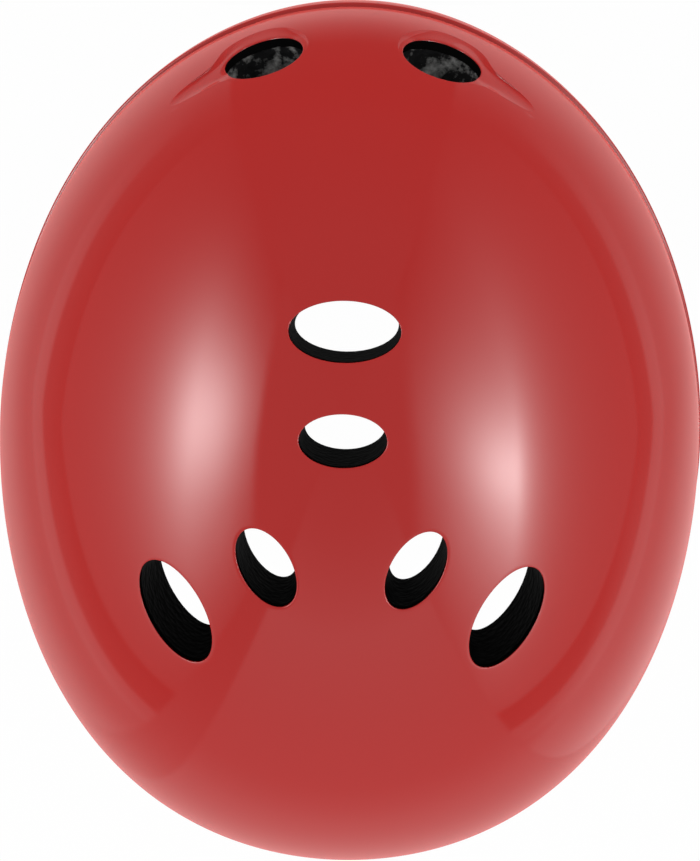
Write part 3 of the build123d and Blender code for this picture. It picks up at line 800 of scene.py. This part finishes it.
given = stitch_node("NodeGroupInput")
path_curve = stitch_node("GeometryNodeMeshToCurve", Mesh=given.outputs["Path"])
evenly = stitch_node("GeometryNodeResampleCurve")
evenly.mode = "LENGTH"
stitch_tree.links.new(path_curve.outputs[0], evenly.inputs["Curve"])
stitch_tree.links.new(given.outputs["Pitch"], evenly.inputs["Length"])
thread_bead = stitch_node("GeometryNodeMeshUVSphere", Segments=8, Rings=6, Radius=1.0)
thread_size = stitch_node("ShaderNodeCombineXYZ", X=given.outputs["Thread Radius"],
                          Y=given.outputs["Thread Radius"], Z=given.outputs["Stitch Length"])
tangent = stitch_node("GeometryNodeInputTangent")
along_path = stitch_node("FunctionNodeAlignRotationToVector", Vector=tangent.outputs[0])
along_path.axis = "Z"
laid = stitch_node("GeometryNodeInstanceOnPoints", Points=evenly.outputs[0], Scale=thread_size.outputs[0],
                   Instance=thread_bead.outputs["Mesh"], Rotation=along_path.outputs[0])
real = stitch_node("GeometryNodeRealizeInstances", Geometry=laid.outputs[0])
dyed = stitch_node("GeometryNodeSetMaterial", Geometry=real.outputs[0], Material=thread_black)
sewn = stitch_node("NodeGroupOutput")
stitch_tree.links.new(dyed.outputs[0], sewn.inputs[0])


def sew(name, paths, pitch, stitch_length, thread):
    """A mesh of stitches along paths, each a list of points with a mark that says it is closed."""
    points, edges = [], []
    for path, closed in paths:
        first = len(points)
        points += [tuple(map(float, point)) for point in path]
        edges += [(i, i + 1) for i in range(first, len(points) - 1)]
        if closed:
            edges.append((len(points) - 1, first))
    lines = bpy.data.meshes.new(name)
    lines.from_pydata(points, edges, [])
    piece = placed(name, lines)
    laying = piece.modifiers.new("stitches", "NODES")
    laying.node_group = stitch_tree
    for socket, value in zip(stitch_inputs, (pitch, stitch_length / 2, thread)):
        laying[socket.identifier] = value
    piece.data = settled(piece)
    piece.modifiers.clear()
    piece.data.shade_smooth()
    return piece


edge_paths = []
for name in pad_places:
    flat = pad_outline(pad_places[name][2], weld_offset)
    edge_paths.append((pad_point(name, flat, weld_height), True))
pad_stitches = sew("pad_edge_stitches", edge_paths, pitch=0.0026, stitch_length=0.0021, thread=0.00022)
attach(pad_stitches, "helmet")

# Straps: black woven polypropylene webbing, 15 mm wide. On each side a front and a rear leg are
# riveted between shell and liner, leave the rim and meet below the ear. The front one runs on
# down, loops round the buckle's bar and comes back up inside, sewn on the left and free on the right.
webbing_width = 0.015
webbing_thick = 0.0014
edge_squareness = 6
layer_gap = 0.0003
meeting = np.array([0.006, -0.112])
bar_level = -0.192
loop_radius = 0.0026
stub_inset = 0.0036
stub_length = 0.0215
bend_radius = 0.022
row_step = 0.0012
leg_exits = {"front": -0.047, "rear": 0.052}
rim_shift = {"front": -0.00825, "rear": 0.00825}
exit_drop = 0.0024
fold_ease = 0.002
fold_overlap = 0.001
return_ease = 0.012
column_count = 15

fold_ends = {leg: rim_height(leg_exits[leg] + rim_shift[leg]) - exit_drop for leg in leg_exits}
layer_x = {"front": float(side_reach(leg_exits["front"], fold_ends["front"], stub_inset))}
layer_x["rear"] = layer_x["front"] - webbing_thick - layer_gap
fold_run = (fold_ends["rear"] - fold_ends["front"]) / (leg_exits["rear"] - leg_exits["front"])
bar_x = layer_x["front"] - loop_radius


def leg_line(leg):
    """Where one strap leaves the rim in the side view, and its way down to the meeting."""
    start = np.array([leg_exits[leg], fold_ends[leg]])
    return start, (meeting - start) / np.linalg.norm(meeting - start)


def strap_rows(leg, lower_length, return_length):
    """Rows of points across one strap, from its riveted end down and back up round the bar."""
    start, down = leg_line(leg)
    lean = np.arctan2(down[0], -down[1])
    tangent_length = bend_radius * np.tan(abs(lean) / 2)
    rows = []
    straight = np.linalg.norm(meeting - start) - tangent_length
    for s in np.arange(-stub_length, straight, row_step):
        rows.append((start + down * s, lean))
    turn_count = int(abs(lean) * bend_radius / row_step) + 1
    at = start + down * straight
    for i in range(turn_count):
        angle = lean * (1 - (i + 0.5) / turn_count)
        at = at + np.array([np.sin(angle), -np.cos(angle)]) * abs(lean) * bend_radius / turn_count
        rows.append((at, lean * (1 - (i + 1) / turn_count)))
    while rows[-1][0][1] - row_step > meeting[1] - lower_length:
        rows.append((rows[-1][0] - np.array([0, row_step]), 0.0))
    across = np.linspace(-0.5, 0.5, column_count) * webbing_width

    def hanging_row(x, z):
        return np.stack([np.full(column_count, x), meeting[0] + across, np.full(column_count, z)], -1)

    grid = []
    for (y, z), angle in rows:
        ys = y + np.cos(angle) * across
        zs = z + np.sin(angle) * across
        fold_here = fold_ends["front"] + fold_run * (ys - leg_exits["front"])
        inside = eased((zs - fold_here) / fold_ease + 0.5)
        on_dome = side_reach(ys, np.maximum(zs, fold_here - fold_overlap), stub_inset)
        xs = layer_x[leg] * (1 - inside) + on_dome * inside
        grid.append(np.stack([xs, ys, zs], -1))
    if return_length:
        last = grid[-1][0][2]
        for z in np.linspace(last, bar_level, max(2, int((last - bar_level) / row_step)))[1:]:
            grid.append(hanging_row(layer_x[leg], z))
        for turn in np.radians(np.arange(15, 181, 15)):
            x, z = bar_x + loop_radius * np.cos(turn), bar_level - loop_radius * np.sin(turn)
            grid.append(hanging_row(x, z))
        inner_x = bar_x - loop_radius
        for rise in np.arange(row_step, return_length, row_step):
            x = inner_x + (layer_x["rear"] - inner_x) * eased(rise / return_ease)
            grid.append(hanging_row(x, bar_level + rise))
    return np.array(grid)


def webbing_mesh(name, grid):
    """Closed flat strip with soft edges round a grid of points, with a map along and across it."""
    along = np.gradient(grid, axis=0)
    side = np.gradient(grid, axis=1)
    normal = np.cross(side, along)
    normal /= np.linalg.norm(normal, axis=2, keepdims=True)
    place = np.linspace(-1, 1, column_count)
    half = webbing_thick / 2 * (1 - np.abs(place) ** edge_squareness) ** 0.5
    outer = grid + normal * half[None, :, None]
    inner = grid - normal * half[None, :, None]
    ring = np.concatenate([outer, inner[:, -2:0:-1]], 1)
    rows, around = ring.shape[:2]
    faces = band_faces(rows, around)
    faces.append(tuple(range(around))[::-1])
    faces.append(tuple(range((rows - 1) * around, rows * around)))
    mesh = bpy.data.meshes.new(name)
    mesh.from_pydata(ring.reshape(-1, 3).tolist(), [], faces, shade_flat=False)
    uv = mesh.uv_layers.new(name="weave")
    row_gaps = np.linalg.norm(np.diff(grid[:, column_count // 2], axis=0), axis=1)
    travelled = np.concatenate([[0], np.cumsum(row_gaps)])
    width_place = np.concatenate([place, place[-2:0:-1]]) * webbing_width / 2
    for corner, mapped in zip(mesh.loops, uv.data):
        row, column = divmod(corner.vertex_index, around)
        mapped.uv = (width_place[column], travelled[row])
    shape = bmesh.new()
    shape.from_mesh(mesh)
    bmesh.ops.recalc_face_normals(shape, faces=shape.faces)
    shape.to_mesh(mesh)
    shape.free()
    return placed(name, mesh)


# Herringbone: ribs a millimetre apart that change their slant every two and a half millimetres
black_webbing, tree, shader = material("black_woven_webbing", (0.012, 0.012, 0.013), 0.72,
                                       Specular_IOR_Level=0.35)
rib_pitch, yarn_pitch, slant_width = 0.0011, 0.00083, 0.0025
weave_map = tree_map("weave")
slanted = plus(weave_map["Y"], tree_math("PINGPONG", weave_map["X"], slant_width))
ribs = times(tree_wave(slanted, rib_pitch), 0.5)
yarns = times(tree_wave(weave_map["X"], yarn_pitch), 0.3)
add_bump(plus(ribs, yarns), 0.5, 0.0002)

# How far each leg runs below the meeting, and the front one back up from the bar on each side
lower_lengths = {"front": 0.078, "rear": 0.030}
returns = {"left": 0.030, "right": 0.042}
for side in ("left", "right"):
    for leg in ("front", "rear"):
        grid = strap_rows(leg, lower_lengths[leg], returns[side] if leg == "front" else 0)
        if side == "right":
            grid = grid * (-1, 1, 1)
        strap = webbing_mesh(f"{side}_{leg}_webbing", grid)
        strap.data.materials.append(black_webbing)
        x = layer_x[leg] * (1 if side == "left" else -1)
        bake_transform(strap)
        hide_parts(f"{side}_{leg}_strap_end", f"{side}_{leg}_strap")

# Sewing on the webbing: three rows hold each rear leg on the front one, a crossed box closes the
# left strap's loop, and two rows hem the right strap's free tail.
box_half_width = 0.0052
box_foot, box_head = -0.1785, -0.1650
row_half_width = 0.0062
leg_rows = (-0.1372, -0.1386, -0.1400)
tail_rows = (-0.1518, -0.1532)
outer_face = layer_x["front"] + webbing_thick / 2
inner_face = layer_x["rear"] - webbing_thick / 2


def seam_row(x, z):
    """One straight seam across the webbing."""
    return [(x, meeting[0] + reach, z) for reach in (-row_half_width, row_half_width)], False


for side, flip in (("left", 1), ("right", -1)):
    paths = []
    for x in (outer_face, inner_face):
        paths += [seam_row(x * flip, z) for z in leg_rows]
        if side == "left":
            box = [(x, meeting[0] + reach, box_foot) for reach in (-box_half_width, box_half_width)]
            box += [(x, meeting[0] + reach, box_head) for reach in (box_half_width, -box_half_width)]
            paths += [(box, True), (box[::2], False), (box[1::2], False)]
    if side == "right":
        paths += [seam_row(inner_face * flip, z) for z in tail_rows]
    strap_stitches = sew(f"{side}_strap_stitches", paths, pitch=0.0020, stitch_length=0.0018, thread=0.00025)
    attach(strap_stitches, f"{side}_straps")

# Buckle and dividers: fine-textured black acetal. Each divider is a flat sleeve on the two legs
# below the ear, and the side-release buckle hangs in the webbing's loops on two moulded bars.
black_acetal, tree, shader = material("black_textured_acetal", (0.016, 0.016, 0.017), 0.42, IOR=1.48)
add_bump(tree_noise("Noise", 2600, Detail=4)["Fac"], 0.35, 0.0002)
for name in ("left_strap_divider", "right_strap_divider", "female_buckle", "male_buckle", "front_prong",
             "rear_prong"):
    finish_node(name, black_acetal)

# Keeper: a small band of matt black rubber, moulded in one loop. It holds the free tail against
# the right strap, and slides along it.
matt_rubber, tree, shader = material("matt_black_rubber", (0.02, 0.02, 0.02), 0.8, Specular_IOR_Level=0.3)
add_bump(tree_noise("Noise", 1500)["Fac"], 0.2, 0.0001)
finish_node("strap_keeper", matt_rubber)

# Floor: plain pale paper just below the lowest piece. It takes the helmet's soft shadow, and shows
# white through the vents.
floor_drop = 0.0015
floor_reach = 6.0
floor_glow = 0.96
floor_mesh = bpy.data.meshes.new("floor")
floor_level = cad_box[0][2] - floor_drop
corners = [(x * floor_reach, y * floor_reach, floor_level) for x, y in ((-1, -1), (1, -1), (1, 1), (-1, 1))]
floor_mesh.from_pydata(corners, [], [(0, 1, 2, 3)])
floor = placed("floor", floor_mesh)
floor.visible_glossy = False
paper, tree, shader = material("pale_paper", (0.9, 0.9, 0.9), 0.9, Specular_IOR_Level=0.0)
path = tree.nodes.new("ShaderNodeLightPath")
glow = tree.nodes.new("ShaderNodeEmission")
mix = tree.nodes.new("ShaderNodeMixShader")
seen = tree_math("MAXIMUM", path.outputs["Is Camera Ray"], path.outputs["Is Transmission Ray"])
seen = tree_math("MAXIMUM", seen, path.outputs["Is Glossy Ray"])
tree.links.new(times(seen, floor_glow), mix.inputs["Fac"])
tree.links.new(shader.outputs[0], mix.inputs[1])
tree.links.new(glow.outputs[0], mix.inputs[2])
tree.links.new(mix.outputs[0], tree.nodes["Material Output"].inputs["Surface"])
floor_mesh.materials.append(paper)

# Studio: two tall softboxes beside the helmet with a dim gap before it and a paler wall behind,
# seen only in the gloss. The light itself is plain, and comes more from around than from overhead.
studio = bpy.data.worlds.new("studio")
bpy.context.scene.world = studio
studio.use_nodes = True
studio.cycles.sampling_method = "NONE"
tree = studio.node_tree


def tree_steps(value, stops):
    """A curve through (value, level) stops, straight between them."""
    low, high = stops[0][0], stops[-1][0]
    ramp = tree.nodes.new("ShaderNodeValToRGB")
    tree.links.new(tree_range(value, low, high), ramp.inputs[0])
    elements = ramp.color_ramp.elements
    while len(elements) < len(stops):
        elements.new(0.5)
    for element, (place, level_here) in zip(elements, stops):
        element.position = (place - low) / (high - low)
        element.color = (level_here, level_here, level_here, 1)
    return tree_split(ramp.outputs[0])[0]


def tree_edge(value, place, width):
    """Rises from 0 to 1 as a value passes a place, over a width."""
    return tree_math("ADD", tree_math("DIVIDE", minus(value, place), width), 0.5, clamp=True)


def tree_blend(share, below, above):
    """One level where share is 0 and another where it is 1."""
    return plus(times(above, share), times(below, minus(1, share)))


dx, dy, dz = tree_split(tree.nodes.new("ShaderNodeTexCoord").outputs["Generated"])
azimuth = tree_math("DEGREES", tree_math("ARCTAN2", dx, times(dy, -1)))
elevation = tree_math("DEGREES", tree_math("ARCSINE", dz))
round_by = tree_math("ABSOLUTE", azimuth)
wide = tree_math("MAXIMUM", tree_math("ABSOLUTE", dx), 0.001)
along = tree_math("DIVIDE", dy, wide)
upward = tree_math("DIVIDE", dz, wide)
on_left = tree_math("GREATER_THAN", dx, 0)
fall_start, fall_rate = 95, 0.57
lowered = minus(elevation, times(fall_rate, tree_math("MAXIMUM", 0, minus(round_by, fall_start))))
front_level = tree_steps(elevation, [(-90, 0.28), (-75, 0.31), (-45, 0.11), (-35, 0.15), (-15, 0.22),
                                     (15, 0.34), (45, 0.46), (80, 0.5)])
front_level = tree_blend(tree_math("GREATER_THAN", round_by, 90), front_level, 0.5)
low_level = tree_steps(lowered, [(-90, 0.25), (-60, 0.4), (-42, 0.4), (-24, 0.3), (-12, 0.27)])
strip = tree_steps(lowered, [(-42, 0), (-36, 0.12), (-34, 0.3), (-27, 0.36), (-25, 0), (0, 0)])
strip = times(strip, tree_steps(round_by, [(40, 0), (85, 1)]))
low_level = plus(low_level, strip)
wall_glow = tree_blend(on_left, 0.42, 0.2)
wall_reach = times(tree_steps(round_by, [(98, 0), (138, 1)]),
                   tree_steps(elevation, [(-90, 0.3), (-65, 1), (-15, 1), (-5, 0)]))
low_level = plus(low_level, times(wall_glow, wall_reach))
rear_level = tree_steps(elevation, [(-90, 0.5), (-55, 0.53), (-15, 0.68), (5, 0.6), (25, 0.76), (55, 1.03),
                                    (75, 0.6), (85, 0.5)])


def softbox(glow, spot, middle, rise_to, spread, spread_down, spread_up, power):
    """Level on one softbox: an even glow and a lamp's hot spot that fades across the cloth."""
    across = tree_math("DIVIDE", minus(along, middle), spread)
    up = minus(upward, rise_to)
    up = tree_math("DIVIDE", up, tree_blend(tree_math("GREATER_THAN", up, 0), spread_down, spread_up))
    square = plus(times(across, across), times(up, up))
    fade = tree_math("POWER", plus(1, square), power)
    return plus(glow, tree_math("DIVIDE", spot, fade))


left_box = softbox(glow=0.23, spot=11.1, middle=-0.03, rise_to=1.17, spread=0.52, spread_down=0.46,
                   spread_up=0.98, power=1.71)
right_box = softbox(glow=0.12, spot=13.0, middle=0.17, rise_to=0.96, spread=0.23, spread_down=0.13,
                    spread_up=0.58, power=0.83)
box_level = tree_blend(on_left, right_box, left_box)
front_edge = tree_blend(on_left, -2.14, -1.60)
rear_edge = tree_blend(on_left, 1.43, 1.19)
foot_edge = tree_blend(on_left, -15.0, -12.0)
top_edge = tree_blend(on_left, 3.9, 2.6)
top_fade = tree_blend(on_left, 1.2, 0.3)
edge_blur, foot_blur, rear_blur, ceiling_level = 0.05, 1.5, 1.0, 0.52
beside = times(tree_edge(along, front_edge, edge_blur), minus(1, tree_edge(along, rear_edge, edge_blur)))
side_level = tree_blend(tree_edge(lowered, foot_edge, foot_blur), low_level, box_level)
side_level = tree_blend(tree_edge(upward, top_edge, top_fade), side_level, ceiling_level)
seen_level = tree_blend(beside, front_level, side_level)
rear_start = tree_blend(on_left, 145.0, 150.0)
seen_level = tree_blend(tree_edge(round_by, rear_start, rear_blur), seen_level, rear_level)
sideways = minus(1, tree_math("MAXIMUM", dz, 0))
plain_level = plus(times(1.9, times(sideways, sideways)), plus(0.72, times(dy, 0.2)))
path = tree.nodes.new("ShaderNodeLightPath")
level_here = tree_blend(path.outputs["Is Glossy Ray"], plain_level, seen_level)
straight = tree_math("MAXIMUM", path.outputs["Is Camera Ray"], path.outputs["Is Transmission Ray"])
level_here = tree_blend(straight, level_here, 1.0)
tree.links.new(level_here, tree.nodes["Background"].inputs["Strength"])
tree.nodes["Background"].inputs["Color"].default_value = (1, 1, 1, 1)

# Camera: almost straight above the crown, tipped twelve degrees to the front, 1.5 m away. Its
# place and lens are fitted to the outline and the vents.
camera_data = bpy.data.cameras.new("camera")
camera_data.lens = 200.2
camera = placed("camera", camera_data)
bpy.context.scene.camera = camera
camera_distance = 1.5
lean, sway, roll = radians(12.076), radians(1.07), radians(0.826)
aim = Vector((-0.000825, -0.009597, 0.040))
away = Vector((-np.sin(sway) * np.cos(lean), -np.sin(lean), np.cos(lean) * np.cos(sway))).normalized()
level = (-away).cross(Vector((0, -1, 0))).normalized()
rise = level.cross(-away)
image_right = level * np.cos(roll) + rise * np.sin(roll)
image_up = -level * np.sin(roll) + rise * np.cos(roll)
turned = Matrix((image_right, image_up, away)).transposed().to_4x4()
camera.matrix_world = Matrix.Translation(aim + away * camera_distance) @ turned
bpy.context.scene.view_settings.view_transform = "Standard"
